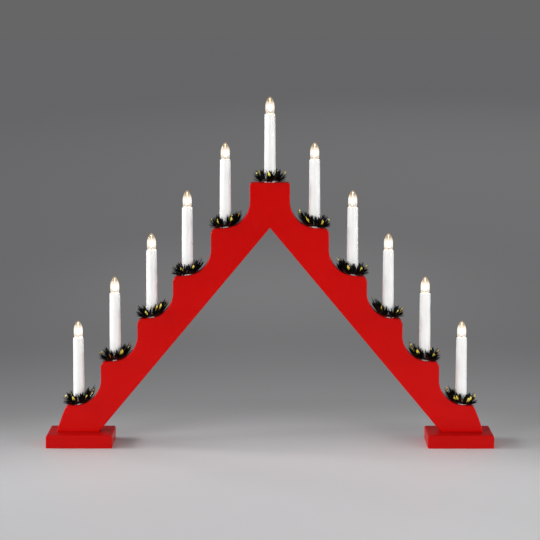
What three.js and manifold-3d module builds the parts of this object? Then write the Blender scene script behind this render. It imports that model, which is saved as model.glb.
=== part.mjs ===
// Electric candlestick: a stepped wooden arch on two feet, carrying eleven electric candles.
// Millimetres, +Z up, +X to the right, front facing -Y, origin on the floor under the middle.
import * as THREE from 'three';
import { mergeVertices } from 'three/addons/utils/BufferGeometryUtils.js';
import Module from 'manifold-3d';

const wasm = await Module();
wasm.setup();

// Wooden arch: a flat top and an even flight of steps down each side, with small hand-made differences
const boardThickness = 22;
const stepRun = 54.34;
const stepRise = 65.16;
const cornerTrims = [2.1, 3, 0.8, 0.4, 0]; // how far out each step's corner is from the even flight
const seatTrims = [-0.4, -4.6, -1.7, 0.1, 0]; // how far up each step is from the even flight
const lowestSeatZ = 59.3;
const topHalfWidth = 29;
const crownHeight = 65.6; // from the arch's inner point up to the flat top
const topCornerRadius = 5;
const noseRadius = 8.5;
const hollowRadius = 38; // round hollow between a step and the wall behind it
const seatSlope = THREE.MathUtils.degToRad(5);
const legToeSpread = 11; // past the lowest step's corner, at the foot
const legToeSlope = THREE.MathUtils.degToRad(22);

// Feet, with a blind mortise for the leg's tenon
const footHeight = 19.2;
const footDepth = 72;
const footMarginInner = 21;
const footMarginOuter = 14;
const footEdgeRadius = 1.8;
const tenonLength = 36;
const tenonThickness = 11;
const tenonDepth = 9;
const tenonClearance = 0.3;

// Wire groove in the back, and the bore from each step into it
const grooveWidth = 8;
const grooveDepth = 10;
const grooveInset = 18; // from the inner edge to the middle of the groove
const grooveEndZ = 33.8;
const grooveEndRun = 6; // past the last bore
const boreRadius = 5;
const cutOvershoot = 2;

// Candle
const candleInset = 21; // from the step's outer corner to the candle's axis
const spotFaceDepth = 0.9;
const spotFaceClearance = 0.5;
const sleeveHeight = 99;
const sleeveBaseRadius = 8.5;
const sleeveTopRadius = 7.65;
const sleeveWall = 0.9;
const sleeveRimRound = 0.5;

// Lamp holder inside the sleeve
const holderClearance = 0.3;
const pegLength = 16;
const flangeHeight = 3;
const stemRadius = 4;
const holderBoreRadius = 1.6;
const cupWall = 1.2;
const cupFloorThickness = 2;
const cupTaper = 3;

// Lamp with a 10 mm screw cap
const capRadius = 4.77;
const capHeight = 9;
const capChamfer = 0.5;
const capTopBelowRim = 10.5;
const threadPitch = 1.81;
const threadTurns = 4;
const threadClearance = 0.35;
const glassHeight = 24.5; // above the sleeve's rim
const glassRadius = 6.6;
const glassNeckRadius = 5.1;
const glassNeckRise = 3; // above the cap
// Shares of the glass's radius and height, from the rim up
const flameOutline = [
  [0.91, 0], [1, 0.28], [0.98, 0.5], [0.89, 0.635], [0.68, 0.8], [0.39, 0.93], [0.15, 0.985],
];
const contactRadius = 1.9;
const contactTipRadius = 1.3;
const contactHeight = 1.6;
const contactGap = 0.3;

// Needle ring lying round the candle's foot
const ringPlay = 1.5;
const ringCoreWidth = 3.6;
const ringCoreHeight = 3;
const ringSeatGap = 0.3;
const tuftCount = 6;
const needlesPerTuft = 3;
const tuftGapAngle = THREE.MathUtils.degToRad(12);
const sideNeedleReach = 25;
const sideNeedleRise = 9;
const topNeedleReach = 17.5;
const topNeedleRise = 17;
const shortNeedleShare = 0.88;
const needleFan = 1.25;

// Lamp wire
const mainWireRadius = 1.8;
const branchWireRadius = 1.3;
const wireEndGap = 1;

// Round sections
const arcSteps = 4;
const sleeveSides = 18;
const holderSides = 10;
const lampSides = 12;
const contactSides = 8;
const boreSides = 14;
const wireSides = 8;
const weldDistance = 1e-4;

const material = (color, roughness, metalness = 0) =>
  new THREE.MeshStandardMaterial({ color, roughness, metalness });
const redPaint = material(0xc1110e, 0.38);
const whitePlastic = material(0xf4f3ef, 0.35);
const holderPlastic = material(0xe6e2d8, 0.5);
const lampGlass = material(0xfff1d6, 0.05);
const contactTin = material(0xb9bcc0, 0.4, 0.9);
const greenNeedles = material(0x10190f, 0.6);
const wireJacket = material(0xdedbd2, 0.5);

const mirrorSides = [-1, 1];

function toSolid(geometry) {
  const bare = geometry.clone();
  bare.deleteAttribute('normal');
  bare.deleteAttribute('uv');
  const welded = mergeVertices(bare, weldDistance);
  return new wasm.Manifold(new wasm.Mesh({
    numProp: 3,
    vertProperties: welded.attributes.position.array,
    triVerts: welded.index.array,
  }));
}

function toGeometry(solid) {
  const mesh = solid.getMesh();
  const geometry = new THREE.BufferGeometry();
  geometry.setAttribute('position', new THREE.BufferAttribute(mesh.vertProperties, mesh.numProp));
  geometry.setIndex(new THREE.BufferAttribute(mesh.triVerts, 1));
  geometry.computeVertexNormals();
  return geometry;
}

const joined = (solids) => solids.reduce((whole, solid) => whole.add(solid));

function addMesh(group, name, geometry, surface) {
  const mesh = new THREE.Mesh(geometry, surface);
  mesh.name = name;
  group.add(mesh);
  return mesh;
}

const stepCount = seatTrims.length;
const topZ = lowestSeatZ + stepCount * stepRise;
const apexZ = topZ - crownHeight;
const legAngle = Math.atan2(stepRise, stepRun); // the legs' inner edges run along the flight of steps
const outerCornerX = (index) => topHalfWidth + (index + 1) * stepRun + cornerTrims[index];
const legToeX = outerCornerX(stepCount - 1) + legToeSpread;

// One entry per step of the right-hand side, from the top one down
const steps = seatTrims.map((seatTrim, index) => {
  const outerX = outerCornerX(index);
  const wallX = index === 0 ? topHalfWidth : outerCornerX(index - 1);
  const candleX = outerX - candleInset;
  const seatZ = topZ - (index + 1) * stepRise + seatTrim; // under the candle
  const hollowEndX = wallX + hollowRadius * (1 - Math.sin(seatSlope));
  const hollowBottomZ = seatZ - (hollowEndX - candleX) * Math.tan(seatSlope);
  const hollowCentreZ = hollowBottomZ + hollowRadius * Math.cos(seatSlope);
  return { outerX, wallX, candleX, hollowEndX, hollowCentreZ, seatZ };
});

// Height of a step's surface at a distance from the middle of the arch
function stepSurfaceZ(step, x) {
  if (x >= step.hollowEndX) {
    return step.seatZ - (x - step.candleX) * Math.tan(seatSlope);
  }
  const fromCentre = step.wallX + hollowRadius - x;
  return step.hollowCentreZ - Math.sqrt(Math.max(0, hollowRadius ** 2 - fromCentre ** 2));
}

// Candles from left to right; the middle one stands on the flat top
const candles = [
  ...steps.map((step) => ({ step, side: -1 })).reverse(),
  { step: null, side: 1 },
  ...steps.map((step) => ({ step, side: 1 })),
].map(({ step, side }, index) => {
  const x = step ? side * step.candleX : 0;
  const surfaceZ = step ? step.seatZ : topZ;
  const baseZ = surfaceZ - spotFaceDepth;
  const surfaceAt = (worldX) => (step ? stepSurfaceZ(step, side * worldX) : topZ);
  return { number: index + 1, x, surfaceZ, baseZ, surfaceAt, onTop: step === null };
});

const innerToeX = (apexZ - footHeight) / Math.tan(legAngle);
const grooveStartZ = apexZ + grooveInset / Math.cos(legAngle);
const grooveTurnX = (grooveStartZ - grooveEndZ) / Math.tan(legAngle);
const grooveMiddleY = boardThickness / 2 - grooveDepth / 2;
const grooveZAt = (x) => Math.max(grooveStartZ - Math.abs(x) * Math.tan(legAngle), grooveEndZ);

// Right half of the arch's outline, from the middle of the top round to the inner point
function halfOutline() {
  const path = new THREE.Path();
  path.moveTo(0, topZ);
  path.lineTo(topHalfWidth - topCornerRadius, topZ);
  path.absarc(topHalfWidth - topCornerRadius, topZ - topCornerRadius, topCornerRadius, Math.PI / 2, 0, true);
  steps.forEach((step, index) => {
    const hollowEnd = 1.5 * Math.PI - seatSlope;
    path.absarc(step.wallX + hollowRadius, step.hollowCentreZ, hollowRadius, Math.PI, hollowEnd, false);
    const noseCentreX = step.outerX - noseRadius;
    const noseCentreZ = stepSurfaceZ(step, noseCentreX) - noseRadius / Math.cos(seatSlope);
    const isLast = index === steps.length - 1;
    const noseEnd = isLast ? legToeSlope : 0;
    path.absarc(noseCentreX, noseCentreZ, noseRadius, Math.PI / 2 - seatSlope, noseEnd, true);
  });
  const edge = path.currentPoint;
  const toeTurnZ = edge.y - (legToeX - edge.x) / Math.tan(legToeSlope);
  path.quadraticCurveTo(legToeX, toeTurnZ, legToeX, footHeight);
  path.lineTo(innerToeX, footHeight);
  path.lineTo(0, apexZ);
  return path.getPoints(arcSteps);
}

function archOutline() {
  const right = halfOutline();
  const left = right.slice(1, -1).reverse().map((point) => new THREE.Vector2(-point.x, point.y));
  return new THREE.Shape([...right, ...left]);
}

// A plate drawn in X and Z, from its front face to its back face
function plate(shape, frontY, backY, curveSegments = arcSteps) {
  const geometry = new THREE.ExtrudeGeometry(shape, {
    depth: backY - frontY,
    bevelEnabled: false,
    curveSegments,
  });
  geometry.rotateX(Math.PI / 2);
  geometry.translate(0, backY, 0);
  return geometry;
}

// A round-ended slot between two points in X and Z
function slotShape(start, end, width) {
  const direction = Math.atan2(end.y - start.y, end.x - start.x);
  const shape = new THREE.Shape();
  shape.absarc(end.x, end.y, width / 2, direction - Math.PI / 2, direction + Math.PI / 2, false);
  shape.absarc(start.x, start.y, width / 2, direction + Math.PI / 2, direction + 1.5 * Math.PI, false);
  return shape;
}

function uprightCylinder(radius, bottomZ, topOfCylinderZ, sides) {
  const height = topOfCylinderZ - bottomZ;
  const geometry = new THREE.CylinderGeometry(radius, radius, height, sides);
  geometry.rotateX(Math.PI / 2);
  geometry.translate(0, 0, bottomZ + height / 2);
  return geometry;
}

const legMiddleX = (innerToeX + legToeX) / 2;

function tenonBox(clearance) {
  const geometry = new THREE.BoxGeometry(
    tenonLength + 2 * clearance,
    tenonThickness + 2 * clearance,
    tenonDepth + clearance + cutOvershoot,
  );
  geometry.translate(0, 0, footHeight + cutOvershoot / 2 - (tenonDepth + clearance) / 2);
  return geometry;
}

function archBoard() {
  const halfThickness = boardThickness / 2;
  let solid = toSolid(plate(archOutline(), -halfThickness, halfThickness));
  const grooveTop = new THREE.Vector2(0, grooveStartZ);
  const lastCandleX = steps[steps.length - 1].candleX;
  for (const side of mirrorSides) {
    const turn = new THREE.Vector2(side * grooveTurnX, grooveEndZ);
    const end = new THREE.Vector2(side * (lastCandleX + grooveEndRun), grooveEndZ);
    for (const [from, to] of [[grooveTop, turn], [turn, end]]) {
      const slot = slotShape(from, to, grooveWidth);
      const cutter = plate(slot, halfThickness - grooveDepth, halfThickness + cutOvershoot, 3);
      solid = solid.subtract(toSolid(cutter));
    }
    solid = solid.add(toSolid(tenonBox(0)).translate(side * legMiddleX, 0, 0));
  }
  for (const candle of candles) {
    const boreBottomZ = grooveZAt(candle.x) - grooveWidth / 2;
    const bore = uprightCylinder(boreRadius, boreBottomZ, candle.surfaceZ + cutOvershoot, boreSides);
    const spotRadius = sleeveBaseRadius + spotFaceClearance;
    const spotTopZ = candle.surfaceZ + hollowRadius / 2;
    const spotFace = uprightCylinder(spotRadius, candle.baseZ, spotTopZ, sleeveSides);
    solid = solid.subtract(toSolid(bore).translate(candle.x, 0, 0));
    solid = solid.subtract(toSolid(spotFace).translate(candle.x, 0, 0));
  }
  return toGeometry(solid);
}

// Both feet are alike but mirrored: the leg stands nearer the outer end
function foot(side) {
  const innerX = innerToeX - footMarginInner;
  const outerX = legToeX + footMarginOuter;
  const halfLength = (outerX - innerX) / 2 - footEdgeRadius;
  const halfDepth = footDepth / 2 - footEdgeRadius;
  const shape = new THREE.Shape();
  shape.moveTo(-halfLength, -halfDepth);
  shape.lineTo(halfLength, -halfDepth);
  shape.lineTo(halfLength, halfDepth);
  shape.lineTo(-halfLength, halfDepth);
  shape.closePath();
  const geometry = new THREE.ExtrudeGeometry(shape, {
    depth: footHeight - 2 * footEdgeRadius,
    bevelSize: footEdgeRadius,
    bevelThickness: footEdgeRadius,
    bevelSegments: 2,
  });
  geometry.translate(side * (innerX + outerX) / 2, 0, footEdgeRadius);
  const mortise = toSolid(tenonBox(tenonClearance)).translate(side * legMiddleX, 0, 0);
  return toGeometry(toSolid(geometry).subtract(mortise));
}

function lathe(profile, sides) {
  const points = profile.map(([radius, z]) => new THREE.Vector2(radius, z));
  return new THREE.LatheGeometry(points, sides).rotateX(Math.PI / 2);
}

const sleeveBoreBase = sleeveBaseRadius - sleeveWall;
const sleeveBoreTop = sleeveTopRadius - sleeveWall;

function sleeveGeometry() {
  return lathe([
    [sleeveBoreBase, 0],
    [sleeveBaseRadius, 0],
    [sleeveTopRadius, sleeveHeight - sleeveRimRound],
    [sleeveTopRadius - sleeveRimRound, sleeveHeight],
    [sleeveBoreTop, sleeveHeight],
    [sleeveBoreBase, 0],
  ], sleeveSides);
}

const capTopZ = sleeveHeight - capTopBelowRim;
const capBottomZ = capTopZ - capHeight;
const cupFloorZ = capBottomZ - contactGap - contactHeight - contactGap;
const cupBoreRadius = capRadius + threadClearance;
const cupTopZ = capBottomZ + threadPitch * threadTurns;

function holderGeometry() {
  const pegRadius = boreRadius - holderClearance;
  const flangeRadius = sleeveBoreBase - 2 * holderClearance;
  const cupRadius = cupBoreRadius + cupWall;
  return lathe([
    [holderBoreRadius, -pegLength],
    [pegRadius, -pegLength],
    [pegRadius, 0],
    [flangeRadius, 0],
    [flangeRadius, flangeHeight],
    [stemRadius, flangeHeight],
    [stemRadius, cupFloorZ - cupFloorThickness - cupTaper],
    [cupRadius, cupFloorZ - cupFloorThickness],
    [cupRadius, cupTopZ],
    [cupBoreRadius, cupTopZ],
    [cupBoreRadius, cupFloorZ],
    [holderBoreRadius, cupFloorZ],
    [holderBoreRadius, -pegLength],
  ], holderSides);
}

// Screw cap and flame-shaped envelope, from the cap's underside to the drawn tip
function lampGeometry() {
  const tipZ = sleeveHeight + glassHeight;
  const flame = flameOutline.map(([radiusShare, heightShare]) => [
    glassRadius * radiusShare,
    sleeveHeight + glassHeight * heightShare,
  ]);
  return lathe([
    [0, capBottomZ],
    [capRadius - capChamfer, capBottomZ],
    [capRadius, capBottomZ + capChamfer],
    [capRadius, capTopZ],
    [glassNeckRadius, capTopZ + glassNeckRise],
    ...flame,
    [0, tipZ],
  ], lampSides);
}

function contactGeometry() {
  const topOfContactZ = capBottomZ - contactGap;
  return lathe([
    [0, topOfContactZ - contactHeight],
    [contactTipRadius, topOfContactZ - contactHeight],
    [contactRadius, topOfContactZ - contactHeight / 2],
    [contactRadius, topOfContactZ],
    [0, topOfContactZ],
  ], contactSides);
}

// Angles round the ring: each tuft's needles share its span, with a bare gap before the next tuft
function ringSections(startAngle) {
  const tuftAngle = (2 * Math.PI) / tuftCount;
  const cellAngle = (tuftAngle - tuftGapAngle) / needlesPerTuft;
  const sections = [];
  for (let tuft = 0; tuft < tuftCount; tuft += 1) {
    const tuftMiddle = startAngle + tuft * tuftAngle;
    for (let cell = 0; cell <= needlesPerTuft; cell += 1) {
      const offset = (cell - needlesPerTuft / 2) * cellAngle;
      const hasNeedles = cell < needlesPerTuft;
      const leanAngle = tuftMiddle + needleFan * (offset + cellAngle / 2);
      const reachShare = (tuft + cell) % 2 === 0 ? 1 : shortNeedleShare;
      sections.push({ angle: tuftMiddle + offset, hasNeedles, leanAngle, reachShare });
    }
  }
  return sections;
}

// A closed ring of four-sided sections that follows the step; each cell's outer and upper
// face is drawn out into a four-sided needle
function needleRingGeometry(candle) {
  const innerRadius = sleeveBaseRadius + ringPlay;
  const outerRadius = innerRadius + ringCoreWidth;
  const positions = [];
  const faces = [];
  const addPoint = (angle, radius, rise) => {
    const x = radius * Math.cos(angle);
    const surface = candle.surfaceAt(candle.x + x) - candle.surfaceZ;
    positions.push(x, radius * Math.sin(angle), surface + rise);
    return positions.length / 3 - 1;
  };
  const addQuad = (a, b, c, d) => faces.push(a, b, c, a, c, d);
  const addNeedle = (a, b, c, d, tip) => faces.push(a, b, tip, b, c, tip, c, d, tip, d, a, tip);
  const upperRise = ringSeatGap + ringCoreHeight;
  const startAngle = candle.onTop ? -Math.PI / 2 : -Math.PI / 2 + Math.PI / tuftCount;
  const sections = ringSections(startAngle).map((section) => ({
    ...section,
    innerLow: addPoint(section.angle, innerRadius, ringSeatGap),
    outerLow: addPoint(section.angle, outerRadius, ringSeatGap),
    outerHigh: addPoint(section.angle, outerRadius, upperRise),
    innerHigh: addPoint(section.angle, innerRadius, upperRise),
  }));
  sections.forEach((section, index) => {
    const next = sections[(index + 1) % sections.length];
    addQuad(section.innerLow, section.innerHigh, next.innerHigh, next.innerLow);
    addQuad(section.innerLow, next.innerLow, next.outerLow, section.outerLow);
    if (section.hasNeedles) {
      const sideReach = sideNeedleReach * section.reachShare;
      const sideTip = addPoint(section.leanAngle, sideReach, sideNeedleRise);
      const topTip = addPoint(section.leanAngle, topNeedleReach, topNeedleRise * section.reachShare);
      addNeedle(section.outerLow, next.outerLow, next.outerHigh, section.outerHigh, sideTip);
      addNeedle(section.outerHigh, next.outerHigh, next.innerHigh, section.innerHigh, topTip);
    } else {
      addQuad(section.outerLow, next.outerLow, next.outerHigh, section.outerHigh);
      addQuad(section.outerHigh, next.outerHigh, next.innerHigh, section.innerHigh);
    }
  });
  const geometry = new THREE.BufferGeometry();
  geometry.setAttribute('position', new THREE.Float32BufferAttribute(positions, 3));
  geometry.setIndex(faces);
  geometry.computeVertexNormals();
  return geometry;
}

// A straight length of wire with a little extra at each end, so that lengths join
function wireLength(from, to, radius) {
  const along = new THREE.Vector3().subVectors(to, from);
  const geometry = new THREE.CylinderGeometry(radius, radius, along.length() + radius, wireSides);
  const cylinderAxis = new THREE.Vector3(0, 1, 0);
  const direction = along.clone().normalize();
  geometry.applyQuaternion(new THREE.Quaternion().setFromUnitVectors(cylinderAxis, direction));
  const middle = new THREE.Vector3().addVectors(from, to).multiplyScalar(0.5);
  geometry.translate(middle.x, middle.y, middle.z);
  return toSolid(geometry);
}

// The lamps' wire: along the groove, with a branch up the bore into each lamp holder
function lampWire() {
  const lengths = [];
  const apex = new THREE.Vector3(0, grooveMiddleY, grooveStartZ);
  const lastCandleX = steps[steps.length - 1].candleX;
  for (const side of mirrorSides) {
    const turn = new THREE.Vector3(side * grooveTurnX, grooveMiddleY, grooveEndZ);
    const end = new THREE.Vector3(side * lastCandleX, grooveMiddleY, grooveEndZ);
    lengths.push(wireLength(apex, turn, mainWireRadius));
    lengths.push(wireLength(turn, end, mainWireRadius));
  }
  for (const candle of candles) {
    const z = grooveZAt(candle.x);
    const inGroove = new THREE.Vector3(candle.x, grooveMiddleY, z);
    const underBore = new THREE.Vector3(candle.x, 0, z);
    const branchTopZ = candle.baseZ + cupFloorZ - wireEndGap - branchWireRadius / 2;
    const inHolder = new THREE.Vector3(candle.x, 0, branchTopZ);
    lengths.push(wireLength(inGroove, underBore, branchWireRadius));
    lengths.push(wireLength(underBore, inHolder, branchWireRadius));
  }
  return toGeometry(joined(lengths));
}

function candleGroup(candle) {
  const group = new THREE.Group();
  group.position.set(candle.x, 0, candle.baseZ);
  addMesh(group, `sleeve_${candle.number}`, sleeveGeometry(), whitePlastic);
  addMesh(group, `holder_${candle.number}`, holderGeometry(), holderPlastic);
  addMesh(group, `bulb_${candle.number}`, lampGeometry(), lampGlass);
  addMesh(group, `bulb_contact_${candle.number}`, contactGeometry(), contactTin);
  const ring = addMesh(group, `needle_ring_${candle.number}`, needleRingGeometry(candle), greenNeedles);
  ring.position.z = candle.surfaceZ - candle.baseZ;
  return group;
}

const candlestick = new THREE.Group();
addMesh(candlestick, 'frame_board', archBoard(), redPaint);
addMesh(candlestick, 'left_foot', foot(-1), redPaint);
addMesh(candlestick, 'right_foot', foot(1), redPaint);
addMesh(candlestick, 'lamp_wire', lampWire(), wireJacket);
candles.forEach((candle) => candlestick.add(candleGroup(candle)));

export default candlestick;
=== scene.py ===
import math
import random

import bmesh
import bpy
from mathutils import Matrix, Vector


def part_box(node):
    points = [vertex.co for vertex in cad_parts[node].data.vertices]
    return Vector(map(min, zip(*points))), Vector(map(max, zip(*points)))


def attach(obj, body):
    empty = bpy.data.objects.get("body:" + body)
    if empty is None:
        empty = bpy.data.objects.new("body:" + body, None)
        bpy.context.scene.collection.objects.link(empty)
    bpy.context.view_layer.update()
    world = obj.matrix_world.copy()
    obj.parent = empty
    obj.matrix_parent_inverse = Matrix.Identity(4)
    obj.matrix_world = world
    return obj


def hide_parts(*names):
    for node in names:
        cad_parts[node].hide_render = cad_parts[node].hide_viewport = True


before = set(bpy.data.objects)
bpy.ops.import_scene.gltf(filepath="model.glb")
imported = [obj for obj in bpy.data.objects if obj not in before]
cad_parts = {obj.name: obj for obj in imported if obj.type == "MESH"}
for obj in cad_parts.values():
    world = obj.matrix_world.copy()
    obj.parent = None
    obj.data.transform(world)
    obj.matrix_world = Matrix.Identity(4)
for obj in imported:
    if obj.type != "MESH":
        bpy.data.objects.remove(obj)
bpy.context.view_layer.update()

mm = 0.001
topCandle = 6
candleCount = 11
tau = 2 * math.pi


def readCandle(number):
    low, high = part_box(f"sleeve_{number}")
    return {"number": number, "x": (low.x + high.x) / 2, "baseZ": low.z, "rimZ": high.z}


candles = [readCandle(number) for number in range(1, candleCount + 1)]
print("frame read:", len(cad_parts), "nodes and", len(candles), "candles")


# Small mesh and material helpers

def addPiece(name, verts, faces, material, smoothAngle=35, closed=True):
    mesh = bpy.data.meshes.new(name)
    mesh.from_pydata([tuple(v) for v in verts], [], faces)
    mesh.validate()
    piece = addMesh(name, mesh, material, smoothAngle)
    if closed:
        facingOut(mesh)
    return piece


def addMesh(name, mesh, material, smoothAngle=35):
    mesh.shade_smooth()
    mesh.set_sharp_from_angle(angle=math.radians(smoothAngle))
    mesh.materials.append(material)
    piece = bpy.data.objects.new(name, mesh)
    bpy.context.scene.collection.objects.link(piece)
    return piece


def stripOfQuads(first, second):
    # the faces between two closed rings of the same number of points
    count = len(first)
    return [(first[i], first[(i + 1) % count], second[(i + 1) % count], second[i]) for i in range(count)]


def lofted(rows, joinsUp=False):
    # a skin over rows of points; the first and last row join up, or else each is closed by a face
    count = len(rows[0])
    rings = [list(range(k * count, (k + 1) * count)) for k in range(len(rows))]
    faces = []
    for first, second in zip(rings, rings[1:] + (rings[:1] if joinsUp else [])):
        faces += stripOfQuads(first, second)
    if not joinsUp:
        faces += [tuple(rings[0][::-1]), tuple(rings[-1])]
    return [point for row in rows for point in row], faces


def turned(profile, sides):
    # a solid of revolution: the profile is a list of (radius, z) that starts and ends on the axis or joins up
    verts, faces, rings = [], [], []
    joinsUp = profile[0][0] > 0
    for radius, z in profile:
        if radius <= 0:
            rings.append([len(verts)] * sides)
            verts.append((0, 0, z))
            continue
        rings.append(list(range(len(verts), len(verts) + sides)))
        verts += [(radius * math.cos(tau * k / sides), radius * math.sin(tau * k / sides), z)
                  for k in range(sides)]
    pairs = list(zip(rings, rings[1:]))
    if joinsUp:
        pairs.append((rings[-1], rings[0]))
    for first, second in pairs:
        for quad in stripOfQuads(first, second):
            corners = list(dict.fromkeys(quad))
            if len(corners) > 2:
                faces.append(corners)
    return verts, faces


def arcPoints(centreX, centreZ, radius, start, end, steps):
    angles = [math.radians(start + (end - start) * k / steps) for k in range(steps + 1)]
    return [(centreX + radius * math.cos(a), centreZ + radius * math.sin(a)) for a in angles]


def directionAt(points, index):
    return (points[min(index + 1, len(points) - 1)] - points[max(index - 1, 0)]).normalized()


def tubeAlong(points, radius, sides):
    rows = []
    side = directionAt(points, 0).orthogonal().normalized()
    for index, point in enumerate(points):
        along = directionAt(points, index)
        side = (side - along * side.dot(along)).normalized()
        across = along.cross(side)
        rows.append([point + radius * (math.cos(tau * k / sides) * side + math.sin(tau * k / sides) * across)
                     for k in range(sides)])
    return lofted(rows)


def joinParts(parts):
    verts, faces = [], []
    for partVerts, partFaces in parts:
        start = len(verts)
        verts += partVerts
        faces += [tuple(start + k for k in face) for face in partFaces]
    return verts, faces


def roundedRun(corners, radius, steps=8):
    # a line of points with each inner corner turned on a soft curve
    points = [corners[0]]
    for before, corner, after in zip(corners, corners[1:], corners[2:]):
        start = corner + (before - corner).normalized() * radius
        end = corner + (after - corner).normalized() * radius
        for k in range(steps + 1):
            t = k / steps
            points.append(start * (1 - t) ** 2 + corner * (2 * t * (1 - t)) + end * t ** 2)
    points.append(corners[-1])
    return points


def colour(red, green, blue):
    # screen values from 0 to 255 to the linear ones that the shaders take
    linear = []
    for value in (red, green, blue):
        share = value / 255
        linear.append(share / 12.92 if share <= 0.04045 else ((share + 0.055) / 1.055) ** 2.4)
    return (*linear, 1)


class Finish:
    # a material with short calls for its nodes
    def __init__(self, name, **sockets):
        self.material = bpy.data.materials.new(name)
        self.material.use_nodes = True
        self.nodes = self.material.node_tree.nodes
        self.links = self.material.node_tree.links
        self.shader = self.nodes["Principled BSDF"]
        self.feed(**sockets)
        self.coordinates = self.nodes.new("ShaderNodeTexCoord").outputs["Object"]

    def put(self, value, socket):
        # another node's output is linked, and a plain value is set
        if isinstance(value, bpy.types.NodeSocket):
            self.links.new(value, socket)
        else:
            socket.default_value = value

    def node(self, kind, settings=None, **inputs):
        node = self.nodes.new(kind)
        for key, value in (settings or {}).items():
            setattr(node, key, value)
        for key, value in inputs.items():
            self.put(value, node.inputs[socketNames[key]])
        return node

    def combine(self, kind, operation, *values):
        # a maths or mix node whose inputs are filled in order
        node = self.node(kind, operation and {"operation": operation})
        for socket, value in zip(node.inputs, values):
            self.put(value, socket)
        return node.outputs

    def noise(self, scale, detail=3, stretch=None):
        vector = self.coordinates
        if stretch:
            vector = self.node("ShaderNodeMapping", vector=vector, scale=stretch).outputs[0]
        return self.node("ShaderNodeTexNoise", vector=vector, scale=scale, detail=detail).outputs["Fac"]

    def ramp(self, factor, stops, interpolation="LINEAR"):
        node = self.node("ShaderNodeValToRGB", factor=factor)
        node.color_ramp.interpolation = interpolation
        elements = node.color_ramp.elements
        while len(elements) < len(stops):
            elements.new(0.5)
        for element, (position, value) in zip(elements, stops):
            element.position = position
            element.color = value
        return node.outputs["Color"]

    def spread(self, factor, low, high, fromLow=0.3, fromHigh=0.7):
        node = self.node("ShaderNodeMapRange", value=factor, fromMin=fromLow, fromMax=fromHigh,
                         toMin=low, toMax=high)
        return node.outputs[0]

    def feed(self, **inputs):
        for key, value in inputs.items():
            self.put(value, self.shader.inputs[socketNames[key]])

    def bump(self, height, strength, distance):
        node = self.node("ShaderNodeBump", height=height, strength=strength, distance=distance)
        self.feed(normal=node.outputs[0])


socketNames = {
    "base": "Base Color", "rough": "Roughness", "metal": "Metallic", "specular": "Specular IOR Level",
    "ior": "IOR", "clear": "Transmission Weight", "normal": "Normal",
    "glow": "Emission Strength", "glowColour": "Emission Color",
    "scatter": "Subsurface Weight", "scatterRadius": "Subsurface Radius", "scatterScale": "Subsurface Scale",
    "vector": "Vector", "scale": "Scale", "detail": "Detail", "factor": "Fac", "value": "Value",
    "fromMin": "From Min", "fromMax": "From Max", "toMin": "To Min", "toMax": "To Max",
    "height": "Height", "strength": "Strength", "distance": "Distance", "location": "Location",
}


# Finishes

def redPaint(name, shade, deep, gloss):
    # satin paint over wood: slight roller texture, and a very faint long grain under it
    finish = Finish(name, rough=0.32, specular=gloss)
    clouds = finish.noise(9, detail=2)
    finish.feed(base=finish.ramp(clouds, [(0.25, deep), (0.75, shade)]))
    finish.feed(rough=finish.spread(finish.noise(60, detail=4), 0.28, 0.36))
    roller = finish.noise(700, detail=2)
    grain = finish.noise(90, detail=3, stretch=(0.25, 1, 1))
    height = finish.combine("ShaderNodeMath", "MULTIPLY_ADD", grain, 0.5, roller)[0]
    finish.bump(height, 0.12, 0.0004)
    return finish.material


def mottled(name, scale, shades, detail=3, stretch=None, shine=None, bump=None, **sockets):
    # shades along a fine noise; shine: scale of its noise and the roughness at both ends;
    # bump: scale and detail of its noise, strength and distance
    finish = Finish(name, **sockets)
    stops = [(position, colour(*shade)) for position, shade in shades]
    finish.feed(base=finish.ramp(finish.noise(scale, detail, stretch), stops))
    if shine:
        shineScale, smoothest, roughest = shine
        finish.feed(rough=finish.spread(finish.noise(shineScale), smoothest, roughest))
    if bump:
        bumpScale, bumpDetail, strength, distance = bump
        finish.bump(finish.noise(bumpScale, bumpDetail), strength, distance)
    return finish.material


lampGlow = {
    # share of the height over the rim, and the colour and strength of the light in the glass there
    "colours": [(0.0, colour(246, 236, 222)), (0.17, colour(242, 228, 210)), (0.28, colour(255, 246, 236)),
                (0.55, colour(255, 246, 234)), (0.68, colour(255, 238, 212)), (0.8, colour(255, 220, 174)),
                (1.0, colour(255, 216, 166))],
    "strengths": [(0.0, 0.2), (0.1, 0.19), (0.2, 0.22), (0.32, 0.25), (0.5, 0.25), (0.6, 0.23), (0.7, 0.165),
                  (0.8, 0.1), (1.0, 0.09)],
}


def lampGlass(height):
    # clear thin glass that carries the lamp's warm light, strongest at the level of the filament
    finish = Finish("lit_clear_glass", base=(1, 0.985, 0.96, 1), rough=0.03, ior=1.1, clear=1.0)
    level = finish.node("ShaderNodeSeparateXYZ", vector=finish.coordinates).outputs["Z"]
    share = finish.spread(level, 0, 1, 0, height)
    finish.feed(glowColour=finish.ramp(share, lampGlow["colours"], "EASE"))
    greys = [(position, (value, value, value, 1)) for position, value in lampGlow["strengths"]]
    finish.feed(glow=finish.ramp(share, greys, "EASE"))
    return finish.material


def tipGlow():
    finish = Finish("lit_glass_drop", base=colour(250, 236, 214), rough=0.1, glowColour=colour(255, 236, 208))
    finish.feed(glow=finish.spread(finish.noise(300), 0.45, 0.65))
    return finish.material


def filamentGlow():
    finish = Finish("lit_filament", base=colour(255, 214, 150), rough=0.5, glowColour=(1, 0.9, 0.76, 1))
    finish.feed(glow=finish.spread(finish.noise(500), 5.5, 7.5))
    return finish.material


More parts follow.
